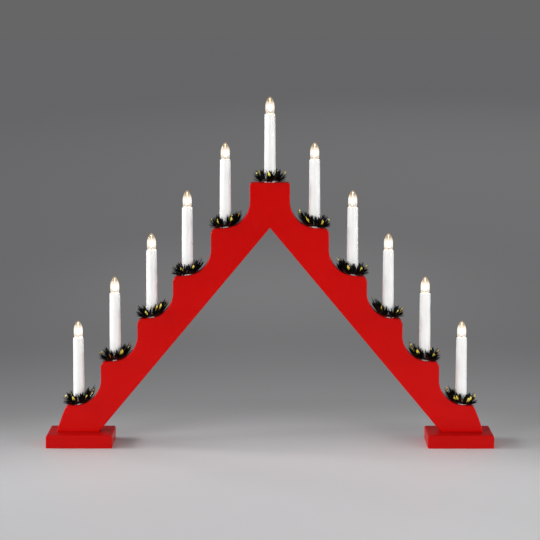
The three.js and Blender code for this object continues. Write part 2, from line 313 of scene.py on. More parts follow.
def stemGlass(beadZ):
    # pale glass and wires with a darker bead where they meet
    finish = Finish("lit_glass_stem", rough=0.15, glowColour=colour(255, 232, 204))
    level = finish.node("ShaderNodeSeparateXYZ", vector=finish.coordinates).outputs["Z"]
    share = finish.spread(level, 0, 1, beadZ - 4 * mm, beadZ + 4 * mm)
    finish.feed(base=finish.ramp(share, [(0.2, colour(226, 206, 182)), (0.4, colour(132, 104, 82)),
                                         (0.6, colour(118, 92, 72)), (0.72, colour(240, 226, 206))], "EASE"))
    finish.feed(glow=finish.ramp(share, [(0.2, (0.35, 0.35, 0.35, 1)), (0.4, (0.06, 0.06, 0.06, 1)),
                                         (0.6, (0.06, 0.06, 0.06, 1)), (0.72, (0.5, 0.5, 0.5, 1))], "EASE"))
    return finish.material


finishes = {
    "paint": redPaint("red_satin_paint", colour(198, 5, 3), colour(190, 4, 2), 0.13),
    "footPaint": redPaint("red_foot_paint", colour(190, 14, 13), colour(180, 12, 12), 0.06),
    "sleeve": mottled("white_sleeve_plastic", 30, [(0.3, (246, 245, 243)), (0.7, (249, 248, 246))], 1,
                      shine=(160, 0.26, 0.34), bump=(1500, 1, 0.03, 0.0001), rough=0.3, specular=0.3,
                      scatter=0.1, scatterScale=0.003, scatterRadius=(1.0, 0.8, 0.65)),
    "holder": mottled("cream_holder_plastic", 80, [(0.3, (222, 216, 203)), (0.7, (234, 229, 217))],
                      bump=(900, 3, 0.1, 0.0002), rough=0.45),
    "brass": mottled("rolled_brass", 300, [(0.3, (176, 138, 66)), (0.7, (222, 188, 110))],
                     stretch=(1, 1, 3), shine=(500, 0.2, 0.38), rough=0.25, metal=1.0),
    "tin": mottled("solder_tin", 700, [(0.3, (150, 151, 153)), (0.7, (206, 207, 208))],
                   bump=(900, 3, 0.2, 0.0002), rough=0.35, metal=1.0),
    "insulator": mottled("cap_insulator", 400, [(0.3, (18, 17, 20)), (0.7, (34, 32, 36))], rough=0.2),
    "needles": mottled("dark_green_needles", 160, [(0.35, (4, 7, 6)), (0.6, (9, 15, 11)), (0.75, (20, 31, 22))],
                       2, shine=(300, 0.3, 0.5), rough=0.45, specular=0.15),
    "gold": mottled("gold_foil", 110, [(0.3, (226, 132, 36)), (0.4, (246, 214, 62)), (0.7, (255, 246, 126))],
                    1, bump=(400, 2, 0.6, 0.0005), rough=0.24, metal=0.1, specular=0.9),
    "jacket": mottled("pale_wire_jacket", 120, [(0.3, (214, 210, 200)), (0.7, (228, 225, 216))],
                      bump=(1200, 3, 0.08, 0.0002), rough=0.42),
    "steel": mottled("staple_steel", 600, [(0.3, (150, 152, 155)), (0.7, (190, 192, 194))],
                     rough=0.32, metal=1.0),
    "filament": filamentGlow(),
    "drop": tipGlow(),
    "stem": stemGlass(2.3 * mm),
}
print("finishes made:", len(finishes))


# Arch board

arch = {
    "topHalfWidth": 29 * mm,
    "crownHeight": 65.6 * mm,  # from the inner point up to the flat top
    "stepRun": 54.34 * mm,
    "stepRise": 65.16 * mm,
    "topCornerRadius": 5 * mm,
    "noseRadius": 8.5 * mm,
    "hollowRadius": 38 * mm,
    "seatSlope": 5,  # degrees
    "toeSlope": 22,  # degrees from upright
    "candleInset": 21 * mm,  # from a step's outer corner to its candle
    "spotFaceDepth": 0.9 * mm,
    "spotFaceRadius": 9 * mm,
    "boreRadius": 5 * mm,
    "grooveWidth": 8 * mm,
    "grooveDepth": 10 * mm,
    "grooveInset": 18 * mm,
    "grooveEndZ": 33.8 * mm,
    "grooveEndRun": 6 * mm,
    "roundOver": 1.3 * mm,
    "roundOverSteps": 5,
    "seamShare": 0.5,  # how far the edges are eased at a leg's sawn end, as a share of the rest
    "arcSteps": 14,
    "closePoints": 0.01 * mm,  # points nearer than this are one
}

boardLow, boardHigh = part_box("frame_board")
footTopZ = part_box("left_foot")[1].z
legAngle = math.atan2(arch["stepRise"], arch["stepRun"])
seatSlope = math.radians(arch["seatSlope"])
topZ = boardHigh.z
apexZ = topZ - arch["crownHeight"]
innerToeX = (apexZ - footTopZ) / math.tan(legAngle)


def readSteps():
    # from the top step down the right-hand side; the left one mirrors it
    steps, wallX = [], arch["topHalfWidth"]
    hollow = arch["hollowRadius"]
    for candle in candles[topCandle:]:
        seatZ = candle["baseZ"] + arch["spotFaceDepth"]
        hollowEndX = wallX + hollow * (1 - math.sin(seatSlope))
        bottomZ = seatZ - (hollowEndX - candle["x"]) * math.tan(seatSlope)
        outerX = candle["x"] + arch["candleInset"]
        steps.append({"candleX": candle["x"], "wallX": wallX, "outerX": outerX, "seatZ": seatZ,
                      "hollowEndX": hollowEndX, "hollowZ": bottomZ + hollow * math.cos(seatSlope)})
        wallX = outerX
    return steps


steps = readSteps()


def stepFor(candle):
    if candle["number"] == topCandle:
        return None
    return steps[abs(candle["number"] - topCandle) - 1]


def woodZ(candle, x):
    # height of the wood under a point beside this candle
    step = stepFor(candle)
    if step is None:
        return topZ
    x = abs(x)
    if x >= step["hollowEndX"]:
        return step["seatZ"] - (x - step["candleX"]) * math.tan(seatSlope)
    fromCentre = step["wallX"] + arch["hollowRadius"] - x
    return step["hollowZ"] - math.sqrt(max(0, arch["hollowRadius"] ** 2 - fromCentre ** 2))


def rightOutline():
    corner, nose, hollow = arch["topCornerRadius"], arch["noseRadius"], arch["hollowRadius"]
    count, slope = arch["arcSteps"], arch["seatSlope"]
    points = [(0, topZ)] + arcPoints(arch["topHalfWidth"] - corner, topZ - corner, corner, 90, 0, count // 2)
    for index, step in enumerate(steps):
        points += arcPoints(step["wallX"] + hollow, step["hollowZ"], hollow, 180, 270 - slope, count * 2)
        noseX = step["outerX"] - nose
        surfaceZ = step["seatZ"] - (noseX - step["candleX"]) * math.tan(seatSlope)
        last = index == len(steps) - 1
        points += arcPoints(noseX, surfaceZ - nose / math.cos(seatSlope), nose, 90 - slope,
                            arch["toeSlope"] if last else 0, count)
    startX, startZ = points[-1]
    toeX = boardHigh.x
    turnZ = startZ - (toeX - startX) / math.tan(math.radians(arch["toeSlope"]))
    for k in range(1, count + 1):
        t = k / count
        points.append((startX * (1 - t) ** 2 + toeX * (2 * t * (1 - t) + t * t),
                       startZ * (1 - t) ** 2 + turnZ * 2 * t * (1 - t) + footTopZ * t * t))
    return points + [(innerToeX, footTopZ), (0, apexZ)]


def closedOutline():
    right = rightOutline()
    left = [(-x, z) for x, z in right[1:-1]][::-1]
    points = []
    for point in right + left:
        if not points or math.dist(point, points[-1]) > arch["closePoints"]:
            points.append(point)
    return points


def insetOutline(points, inset):
    # each point moves square to the outline, and further at a corner; the outline runs clockwise
    moved = []
    count = len(points)
    for index, point in enumerate(points):
        here, before, after = Vector(point), Vector(points[index - 1]), Vector(points[(index + 1) % count])
        into, out = (here - before).normalized(), (after - here).normalized()
        normalIn, normalOut = Vector((into.y, -into.x)), Vector((out.y, -out.x))
        if here.y <= footTopZ + arch["closePoints"]:
            # the sawn end of a leg stays flat on its foot, and only its edges are eased
            side = normalOut if abs(normalIn.x) < 0.01 else normalIn
            rise = inset * arch["seamShare"]
            moved.append((here.x + (inset - side.y * rise) / side.x, here.y + rise))
            continue
        middle = (normalIn + normalOut).normalized()
        moved.append(tuple(here + middle * (inset / max(middle.dot(normalIn), 0.3))))
    return moved


def plateMesh(name, outline, frontY, backY, roundOver=0, roundSteps=1):
    # an upright plate with its outline in X and Z; both long edges can be rounded over
    turns = [math.pi / 2 * k / roundSteps for k in range(roundSteps + 1)] if roundOver else [0]
    levels = [(roundOver * (1 - math.sin(turn)), roundOver * (1 - math.cos(turn))) for turn in turns]
    rows = [(inset, frontY + depth) for inset, depth in levels]
    rows += [(inset, backY - depth) for inset, depth in reversed(levels)]
    verts, rings = [], []
    for inset, y in rows:
        ring = insetOutline(outline, inset) if inset > 0 else outline
        rings.append(list(range(len(verts), len(verts) + len(ring))))
        verts += [(x, y, z) for x, z in ring]
    faces = [tuple(rings[0]), tuple(rings[-1][::-1])]
    for first, second in zip(rings, rings[1:]):
        faces += stripOfQuads(first, second)
    return closedMesh(name, verts, faces)


def closedMesh(name, verts, faces):
    mesh = bpy.data.meshes.new(name)
    mesh.from_pydata(verts, [], faces)
    return facingOut(mesh)


def facingOut(mesh):
    work = bmesh.new()
    work.from_mesh(mesh)
    bmesh.ops.recalc_face_normals(work, faces=work.faces)
    work.to_mesh(mesh)
    work.free()
    return mesh


def slotOutline(start, end, width, count=10):
    direction = math.degrees(math.atan2(end[1] - start[1], end[0] - start[0]))
    return (arcPoints(*end, width / 2, direction + 90, direction - 90, count)
            + arcPoints(*start, width / 2, direction - 90, direction - 270, count))


def boreMesh(candle):
    # the hole for a holder's peg, opened out at the top to seat the sleeve
    x, seatZ = candle["x"], candle["baseZ"] + arch["spotFaceDepth"]
    lowZ = grooveZ(x) - arch["grooveWidth"] / 2
    highZ = seatZ + arch["hollowRadius"] / 2
    verts, faces = turned([(0, lowZ), (arch["boreRadius"], lowZ), (arch["boreRadius"], candle["baseZ"]),
                           (arch["spotFaceRadius"], candle["baseZ"]), (arch["spotFaceRadius"], highZ),
                           (0, highZ)], 48)
    return closedMesh("bore", [(vx + x, vy, vz) for vx, vy, vz in verts], faces)


def boxMesh(name, low, high):
    mesh = bpy.data.meshes.new(name)
    work = bmesh.new()
    bmesh.ops.create_cube(work, size=1)
    for vert in work.verts:
        vert.co = Vector([low[k] if vert.co[k] < 0 else high[k] for k in range(3)])
    work.to_mesh(mesh)
    work.free()
    return mesh


def shaped(piece, changes):
    # cuts and joins, each a mesh, worked into the piece one after another
    helpers = []
    for operation, mesh in changes:
        helper = bpy.data.objects.new(mesh.name, mesh)
        bpy.context.scene.collection.objects.link(helper)
        helpers.append(helper)
        modifier = piece.modifiers.new(mesh.name, "BOOLEAN")
        modifier.operation = operation
        modifier.object = helper
        modifier.solver = "EXACT"
    settle(piece)
    for helper in helpers:
        bpy.data.objects.remove(helper)
    return piece


def settle(piece):
    # the modifiers' result becomes the piece's own mesh
    bpy.context.view_layer.update()
    result = bpy.data.meshes.new_from_object(piece.evaluated_get(bpy.context.evaluated_depsgraph_get()))
    piece.modifiers.clear()
    piece.data = result


def evenShading(piece, smoothAngle=35):
    piece.data.shade_smooth()
    piece.data.set_sharp_from_angle(angle=math.radians(smoothAngle))
    modifier = piece.modifiers.new("flat faces stay flat", "WEIGHTED_NORMAL")
    modifier.keep_sharp = True
    modifier.weight = 90
    settle(piece)


grooveTopZ = apexZ + arch["grooveInset"] / math.cos(legAngle)
grooveTurnX = (grooveTopZ - arch["grooveEndZ"]) / math.tan(legAngle)
lastCandleX = steps[-1]["candleX"]


def grooveZ(x):
    return max(grooveTopZ - abs(x) * math.tan(legAngle), arch["grooveEndZ"])


tenon = {"length": 36 * mm, "thickness": 11 * mm, "depth": 9 * mm, "clearance": 0.3 * mm}
legMiddleX = (innerToeX + boardHigh.x) / 2


def tenonMesh(name, side, clearance, overshoot):
    halfLength = tenon["length"] / 2 + clearance
    halfThickness = tenon["thickness"] / 2 + clearance
    middle = side * legMiddleX
    return boxMesh(name, (middle - halfLength, -halfThickness, footTopZ - tenon["depth"] - clearance),
                   (middle + halfLength, halfThickness, footTopZ + overshoot))


def archBoard():
    frontY, backY = boardLow.y, boardHigh.y
    board = addMesh("arch_board", plateMesh("arch_board", closedOutline(), frontY, backY,
                                            arch["roundOver"], arch["roundOverSteps"]), finishes["paint"])
    over = 2 * mm
    changes = []
    for side in (-1, 1):
        turn = (side * grooveTurnX, arch["grooveEndZ"])
        end = (side * (lastCandleX + arch["grooveEndRun"]), arch["grooveEndZ"])
        for start, stop in (((0, grooveTopZ), turn), (turn, end)):
            outline = slotOutline(start, stop, arch["grooveWidth"])
            cutter = plateMesh("groove", outline, backY - arch["grooveDepth"], backY + over)
            changes.append(("DIFFERENCE", cutter))
    changes += [("DIFFERENCE", boreMesh(candle)) for candle in candles]
    changes += [("UNION", tenonMesh("tenon", side, 0, over)) for side in (-1, 1)]
    shaped(board, changes)
    evenShading(board, 30)
    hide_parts("frame_board")
    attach(board, "root")
    return board


board = archBoard()
print("arch board made:", len(board.data.polygons), "faces")


# Feet

foot = {
    "cornerRadius": 1.6 * mm,
    "sharpest": 0.25 * mm,  # least corner radius once the outline is drawn in
    "upperEdgeRadius": 3.4 * mm,
    "lowerEdgeRadius": 0.8 * mm,
}


def footRing(low, high, inset, z):
    # a rectangle with rounded corners, drawn in from the foot's own outline
    radius = max(foot["cornerRadius"] - inset, foot["sharpest"])
    left, right = low.x + inset + radius, high.x - inset - radius
    front, back = low.y + inset + radius, high.y - inset - radius
    corners = ((right, back, 0), (left, back, 90), (left, front, 180), (right, front, 270))
    return [(x, y, z) for cornerX, cornerY, start in corners
            for x, y in arcPoints(cornerX, cornerY, radius, start, start + 90, 5)]


def footMesh(name, low, high):
    lower, upper = foot["lowerEdgeRadius"], foot["upperEdgeRadius"]
    levels = arcPoints(lower, low.z + lower, lower, 270, 180, 4)
    levels += arcPoints(upper, high.z - upper, upper, 180, 90, 9)
    return closedMesh(name, *lofted([footRing(low, high, inset, z) for inset, z in levels]))


def footBlock(nodeName, pieceName, side):
    low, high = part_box(nodeName)
    piece = addMesh(pieceName, footMesh(pieceName, low, high), finishes["footPaint"])
    shaped(piece, [("DIFFERENCE", tenonMesh("mortise", side, tenon["clearance"], 2 * mm))])
    evenShading(piece, 40)
    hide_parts(nodeName)
    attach(piece, "root")


footBlock("left_foot", "foot_block_left", -1)
footBlock("right_foot", "foot_block_right", 1)
print("feet made")


# Candle sleeves

sleeve = {
    "baseRadius": 8.5 * mm,
    "topRadius": 7.65 * mm,
    "wall": 0.9 * mm,
    "rimRound": 0.8 * mm,
    "innerRound": 0.1 * mm,
    "footRound": 0.3 * mm,
    "sides": 64,
}


def sleeveProfile(height):
    base, top, wall = sleeve["baseRadius"], sleeve["topRadius"], sleeve["wall"]
    rim, footRound, inner = sleeve["rimRound"], sleeve["footRound"], sleeve["innerRound"]
    profile = [(base - wall, 0)]
    profile += arcPoints(base - footRound, footRound, footRound, -90, 0, 4)
    profile += [(base + (top - base) * share, height * share) for share in (0.2, 0.4, 0.6, 0.8)]
    profile += arcPoints(top - rim, height - rim, rim, 0, 90, 8)
    profile += arcPoints(top - wall + inner, height - inner, inner, 90, 180, 2)
    return profile


def makeSleeves():
    height = candles[0]["rimZ"] - candles[0]["baseZ"]
    verts, faces = turned(sleeveProfile(height), sleeve["sides"])
    for candle in candles:
        piece = addPiece(f"candle_sleeve_{candle['number']}", verts, faces, finishes["sleeve"])
        piece.location = (candle["x"], 0, candle["baseZ"])
        piece.rotation_euler.z = candle["number"]
        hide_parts(f"sleeve_{candle['number']}")
        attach(piece, "root")


makeSleeves()
print("sleeves made")


# Lamps: glass, screw cap, and the lit filament on its stem

lamp = {
    "glassHeight": 24.5 * mm,  # above the rim
    "glassWall": 0.35 * mm,
    # radius and height above the rim, from the neck in the cap to the drawn tip
    "outline": [(4.5, -10.2), (4.9, -8.4), (5.25, -6), (5.65, -3), (6.0, 0), (6.3, 3), (6.56, 6.9),
                (6.56, 10), (6.45, 12.6), (6.0, 15.3), (5.35, 17.5), (4.5, 19.6), (3.6, 21.3), (2.6, 22.8),
                (1.7, 23.75), (0.85, 24.3)],
    "capRadius": 4.77 * mm,
    "capHeight": 9 * mm,
    "capTopBelowRim": 10.5 * mm,
    "threadPitch": 1.81 * mm,
    "threadDepth": 0.32 * mm,
    "capHole": 2.4 * mm,
    "capShoulder": 3.9 * mm,
    "capSides": 28,
    "capRows": 34,
    # radius and height over the cap's lower end
    "insulator": [(0, -0.02), (1.6, -0.02), (2.3, 0.02), (2.3, 1.6), (0, 1.9)],
    "coilRadius": 2.5 * mm,
    "coilTurns": 6,
    "pointsPerTurn": 14,
    "coilWire": 0.2 * mm,
    "coilLow": 4.6 * mm,
    "coilHigh": 12.8 * mm,
    "supportRadius": 0.16 * mm,
    "stemRadius": 1.5 * mm,
    "stemTop": 3.1 * mm,
    "sides": 40,
    # radius and height of the drop of drawn glass that hangs inside the tip
    "drop": [(0, 15.6), (0.3, 15.9), (0.42, 17.5), (0.55, 19.4), (0.85, 20.8), (0.95, 21.7), (0.6, 22.4),
             (0, 22.6)],
}


def smoothRun(points, between):
    # more points on a soft curve through the ones given
    run = []
    for k in range(len(points) - 1):
        a, b = points[max(k - 1, 0)], points[k]
        c, d = points[k + 1], points[min(k + 2, len(points) - 1)]
        for j in range(between):
            t = j / between
            run.append(tuple(0.5 * (2 * b[i] + (c[i] - a[i]) * t
                                    + (2 * a[i] - 5 * b[i] + 4 * c[i] - d[i]) * t ** 2
                                    + (3 * b[i] - a[i] - 3 * c[i] + d[i]) * t ** 3) for i in range(2)))
    return run + [points[-1]]


def glassProfile():
    outer = smoothRun([(r * mm, z * mm) for r, z in lamp["outline"]], 3)
    wall = lamp["glassWall"]
    inner = [(r - wall, z) for r, z in outer if z < lamp["glassHeight"] - 2 * wall]
    return outer + [(0, lamp["glassHeight"])], [(0, inner[-1][1] + wall)] + inner[::-1]


def glassMesh():
    outer, inner = glassProfile()
    # from the inner tip down to the neck, round its lip and up the outside
    return turned(inner + outer, lamp["sides"])


def capMesh():
    # a helical thread rolled in a thin shell, closed at the bottom round the insulator
    top, bottom = -lamp["capTopBelowRim"], -lamp["capTopBelowRim"] - lamp["capHeight"]
    sides, rows = lamp["capSides"], lamp["capRows"]
    radius, depth, pitch = lamp["capRadius"], lamp["threadDepth"], lamp["threadPitch"]
    shellRows = []

    def addRing(ringRadius, z, threaded=0.0):
        shellRows.append([])
        for k in range(sides):
            turn = tau * k / sides
            wave = 0.5 - 0.5 * math.cos(tau * (z - bottom) / pitch - turn)
            r = ringRadius - depth * threaded * wave
            shellRows[-1].append((r * math.cos(turn), r * math.sin(turn), z))

    addRing(lamp["capHole"], bottom)
    addRing(lamp["capShoulder"], bottom + 0.05 * mm)
    for row in range(rows + 1):
        z = bottom + 0.5 * mm + (top - bottom - 0.5 * mm) * row / rows
        ends = min(1, row / 3, (rows - row) / 5)
        addRing(radius - 0.05 * mm, z, max(0, ends))
    addRing(radius - 0.45 * mm, top)
    addRing(radius - 0.8 * mm, bottom + 0.9 * mm)
    addRing(lamp["capHole"], bottom + 0.7 * mm)
    return lofted(shellRows, joinsUp=True)


def insulatorMesh():
    bottom = -lamp["capTopBelowRim"] - lamp["capHeight"]
    return turned([(radius * mm, bottom + rise * mm) for radius, rise in lamp["insulator"]], lamp["capSides"])


def filamentMesh():
    low, high = lamp["coilLow"], lamp["coilHigh"]
    points = []
    count = lamp["coilTurns"] * lamp["pointsPerTurn"]
    for k in range(count + 1):
        share = k / count
        swell = lamp["coilRadius"] * (0.75 + 0.35 * math.sin(math.pi * share))
        turn = tau * lamp["coilTurns"] * share
        points.append(Vector((swell * math.cos(turn), swell * math.sin(turn), low + (high - low) * share)))
    return tubeAlong(points, lamp["coilWire"], 5)


def stemMesh():
    # a pinched glass stem with two support wires up to the filament's ends
    neck = -lamp["capTopBelowRim"]
    radius, top = lamp["stemRadius"], lamp["stemTop"]
    bead = turned([(0, neck), (2.6 * mm, neck), (1.9 * mm, neck + 3 * mm), (1.1 * mm, top - 3.4 * mm),
                   (radius * 0.9, top - 1.8 * mm), (radius, top - 0.8 * mm), (radius * 0.6, top - 0.1 * mm),
                   (0, top)], 20)
    low, high = lamp["coilLow"], lamp["coilHigh"]
    wires = []
    for side, end in ((1, low), (-1, high)):
        root = Vector((side * radius * 0.5, 0, top - 0.8 * mm))
        knee = Vector((side * 2.6 * mm, 0, top + 2.2 * mm))
        head = Vector((side * 2.3 * mm, 0, end))
        tip = Vector((side * 1.45 * mm, 0, end))
        run = [root, knee, tip] if side == 1 else [root, knee, head, tip]
        wires.append(tubeAlong(roundedRun(run, 0.6 * mm, 4), lamp["supportRadius"], 6))
    return joinParts([bead] + wires)


def makeLamps():
    dropMesh = turned([(radius * mm, z * mm) for radius, z in lamp["drop"]], 16)
    parts = {
        "lamp_glass": (glassMesh(), lampGlass(lamp["glassHeight"]), "lamp_glass", 60),
        "lamp_cap": (capMesh(), finishes["brass"], "cap_brass", 50),
        "lamp_insulator": (insulatorMesh(), finishes["insulator"], "cap_brass", 40),
        "lamp_stem": (stemMesh(), finishes["stem"], "lamp_glass", 60),
        "lamp_filament": (filamentMesh(), finishes["filament"], "lamp_glass", 60),
        "lamp_tip": (dropMesh, finishes["drop"], "lamp_glass", 60),
    }
    for candle in candles:
        number = candle["number"]
        turn = random.Random(number).uniform(0, tau)
        for name, ((verts, faces), material, slot, smoothAngle) in parts.items():
            piece = addPiece(f"{name}_{number}", verts, faces, material, smoothAngle)
            piece.location = (candle["x"], 0, candle["rimZ"])
            piece.rotation_euler.z = turn
            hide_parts(f"bulb_{number}")
            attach(piece, f"lamp_{number}")


makeLamps()
print("lamps made")


# Needle rings

ring = {
    "tufts": 6,
    "topTufts": 5,  # with one straight in front
    "needles": 168,
    "tuftSpan": 22,  # degrees to each side of the tuft's middle, at the roots
    "lowSpread": 0.6,  # share of the span that the lowest needles take
    "fan": 1.6,  # how much further the tips spread than the roots
    "leanPlay": 0.12,  # radians
    "lift": (12, 81),  # degrees over the wood, for the lowest and the most upright needles
    "liftPlay": 7,
    "innerRadius": 10 * mm,
    "outerRadius": 14 * mm,
    "stripLow": 2.2 * mm,
    "stripHigh": 5 * mm,
    "rootLow": 0.7 * mm,
    "rootHigh": 4.8 * mm,
    "reach": 25 * mm,
    "topRise": 19 * mm,
    "leastRise": 0.4 * mm,  # so that no needle sinks in the wood
    "leastTipRise": 0.8 * mm,
    "bow": (-0.6 * mm, 1.2 * mm),
    "bladeLength": (10 * mm, 14.5 * mm),
    "longBladeLength": (16 * mm, 18.5 * mm),
    "longShare": 0.35,
    "bladeWidth": (2.6 * mm, 3.7 * mm),
    "bladeThickness": 0.5 * mm,
    "foilWidth": (3.1 * mm, 4.1 * mm),
    "foilLength": (8 * mm, 11 * mm),
    "foilThickness": 0.2 * mm,
    "foilOffset": (2, 11),  # degrees beside the tuft's middle
    "foilLift": (48, 68),
    "foilRootRadius": 16.2 * mm,
    "foilRootRise": (5.2 * mm, 8 * mm),
    "foilCurl": (0.8 * mm, 2 * mm),
    "foilLeaf": (0.45, 0.8, 1, 1, 0.95, 0.7, 0.3),  # width along the strip
}


def onRing(candle, radius, angle, rise):
    x = candle["x"] + radius * math.cos(angle)
    return Vector((x, radius * math.sin(angle), woodZ(candle, x) + rise))


def blade(spine, widths, thickness, roll, pointed=True):
    # a thin strip along the spine: diamond sections, drawn out to a point or cut square
    verts, faces, rings = [], [], []
    count = len(spine) - 1 if pointed else len(spine)
    for index in range(count):
        along = directionAt(spine, index)
        across = along.cross(Vector((0, 0, 1)))
        if across.length < 0.05:
            across = along.orthogonal()
        across.normalize()
        across = Matrix.Rotation(roll, 3, along) @ across
        face = along.cross(across)
        half, thick = widths[index] / 2, thickness / 2
        rings.append(list(range(len(verts), len(verts) + 4)))
        verts += [spine[index] + across * half, spine[index] + face * thick,
                  spine[index] - across * half, spine[index] - face * thick]
    for first, second in zip(rings, rings[1:]):
        faces += stripOfQuads(first, second)
    faces.append(tuple(rings[0][::-1]))
    if pointed:
        tip = len(verts)
        verts.append(spine[-1])
        faces += [(rings[-1][k], rings[-1][(k + 1) % 4], tip) for k in range(4)]
    else:
        faces.append(tuple(rings[-1]))
    return verts, faces


def needle(candle, dice, tuftMiddle, share):
    # share runs from 0 to 1 through a tuft, from its lowest outer blades to its upright inner ones
    place = dice.uniform(-1, 1) * (ring["lowSpread"] + (1 - ring["lowSpread"]) * share)
    rootAngle = tuftMiddle + math.radians(ring["tuftSpan"]) * place
    lean = tuftMiddle + math.radians(ring["tuftSpan"]) * place * ring["fan"]
    lean += dice.uniform(-ring["leanPlay"], ring["leanPlay"])
    lowLift, highLift = ring["lift"]
    lift = lowLift + (highLift - lowLift) * share + dice.uniform(-ring["liftPlay"], ring["liftPlay"])
    lift = math.radians(lift)
    inner, outer = ring["innerRadius"] + 0.8 * mm, ring["outerRadius"] - 0.6 * mm
    rootRadius = outer + (inner - outer) * share
    rootRise = ring["rootLow"] + (ring["rootHigh"] - ring["rootLow"]) * share
    lengths = ring["longBladeLength"] if dice.random() < ring["longShare"] else ring["bladeLength"]
    length = dice.uniform(*lengths)
    reach = min(rootRadius + length * math.cos(lift), ring["reach"])
    rise = min(max(rootRise + length * math.sin(lift), ring["leastTipRise"]), ring["topRise"])
    bow = dice.uniform(*ring["bow"])
    spine = []
    for t in (0, 0.35, 0.7, 1):
        angle = rootAngle + (lean - rootAngle) * t
        radius = rootRadius + (reach - rootRadius) * t
        height = rootRise + (rise - rootRise) * t + bow * t * (1 - t) * 2
        spine.append(onRing(candle, radius, angle, max(height, ring["leastRise"])))
    width = dice.uniform(*ring["bladeWidth"])
    widths = [width * 0.95, width, width * 0.72]
    return blade(spine, widths, ring["bladeThickness"], dice.uniform(-0.5, 0.5))


def foilStrip(candle, dice, tuftMiddle, side):
    # a leaf-shaped strip that stands a little in front of its tuft's blades
    angle = tuftMiddle + math.radians(dice.uniform(*ring["foilOffset"])) * side
    lift = math.radians(dice.uniform(*ring["foilLift"]))
    length = dice.uniform(*ring["foilLength"])
    rootRadius, rootRise = ring["foilRootRadius"], dice.uniform(*ring["foilRootRise"])
    curl = dice.uniform(*ring["foilCurl"])
    spine = []
    for k in range(len(ring["foilLeaf"])):
        t = k / (len(ring["foilLeaf"]) - 1)
        radius = min(rootRadius + length * math.cos(lift) * t + curl * math.sin(math.pi * t), ring["reach"])
        rise = rootRise + length * math.sin(lift) * t
        spine.append(onRing(candle, radius, angle + 0.03 * math.sin(3 * t), min(rise, ring["topRise"])))
    width = dice.uniform(*ring["foilWidth"])
    widths = [width * leaf for leaf in ring["foilLeaf"]]
    return blade(spine, widths, ring["foilThickness"], dice.uniform(-0.4, 0.4), pointed=False)


def coreStrip(candle, sections=72):
    # the band that holds the tufts, bowed to follow the step
    low, high = ring["stripLow"], ring["stripHigh"]
    inner, outer, soft = ring["innerRadius"], ring["outerRadius"], 0.5 * mm
    section = [(inner, low + soft), (inner + soft, low), (outer - soft, low), (outer, low + soft),
               (outer, high - soft), (outer - soft, high), (inner + soft, high), (inner, high - soft)]
    return lofted([[onRing(candle, radius, tau * k / sections, rise) for radius, rise in section]
                   for k in range(sections)], joinsUp=True)


def makeRing(candle):
    number = candle["number"]
    dice = random.Random(100 + number)
    onTop = number == topCandle
    tufts = ring["topTufts"] if onTop else ring["tufts"]
    start = -math.pi / 2 + (0 if onTop else math.pi / tufts)
    count = ring["needles"] // tufts
    needles, foils = [], []
    for tuft in range(tufts):
        middle = start + tau * tuft / tufts + dice.uniform(-0.04, 0.04)
        needles += [needle(candle, dice, middle, (k + dice.random()) / count) for k in range(count)]
        sides = dice.choice(((1,), (-1,), (-1, 1)))
        foils += [foilStrip(candle, dice, middle, side) for side in sides]
    parts = {
        "ring_strip": (coreStrip(candle), finishes["needles"], "needles", 50),
        "ring_needles": (joinParts(needles), finishes["needles"], "needles", 25),
        "ring_foil": (joinParts(foils), finishes["gold"], "gold_foil", 60),
    }
    for name, ((verts, faces), material, slot, smoothAngle) in parts.items():
        piece = addPiece(f"{name}_{number}", verts, faces, material, smoothAngle)
        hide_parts(f"needle_ring_{number}")
        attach(piece, f"ring_{number}")


for candle in candles:
    makeRing(candle)
print("needle rings made")


# Lamp wire: two thin cores side by side in the groove, held by staples, with a pair up each bore

wire = {
    "coreRadius": 0.95 * mm,
    "branchRadius": 0.68 * mm,
    "turnRadius": 9 * mm,
    "branchTurn": 4 * mm,
    "stapleGap": 62 * mm,
    "stapleWire": 0.45 * mm,
    "stapleHalfWidth": 2.6 * mm,
    "holderFloor": 66.0 * mm,  # from the sleeve's foot up to where the cores end
}
grooveY = boardHigh.y - arch["grooveDepth"] / 2


def sideways(points, offset):
    # moves a line of points along the board's face, square to its own direction
    moved = []
    for index, point in enumerate(points):
        along = directionAt(points, index)
        moved.append(point + Vector((along.z, 0, -along.x)) * offset)
    return moved


def grooveRun():
    endX, endZ = lastCandleX, arch["grooveEndZ"]
    corners = [Vector((-endX, grooveY, endZ)), Vector((-grooveTurnX, grooveY, endZ)),
               Vector((0, grooveY, grooveTopZ)), Vector((grooveTurnX, grooveY, endZ)),
               Vector((endX, grooveY, endZ))]
    return roundedRun(corners, wire["turnRadius"])


def branchRun(candle, offset):
    z, x = grooveZ(candle["x"]), candle["x"] + offset
    topOfBranch = candle["baseZ"] + wire["holderFloor"]
    corners = [Vector((x, grooveY, z)), Vector((x, 0, z)), Vector((x, 0, topOfBranch))]
    return roundedRun(corners, wire["branchTurn"])


def staple(middle, along):
    half, reach = wire["stapleHalfWidth"], wire["coreRadius"] + wire["stapleWire"]
    across = Vector((along.z, 0, -along.x))
    floorY = boardHigh.y - arch["grooveDepth"] - mm
    crown = middle + Vector((0, reach + 0.2 * mm, 0))
    left, right = crown - across * half, crown + across * half
    corners = [Vector((left.x, floorY, left.z)), left, right, Vector((right.x, floorY, right.z))]
    return tubeAlong(roundedRun(corners, 0.9 * mm, 4), wire["stapleWire"], 8)


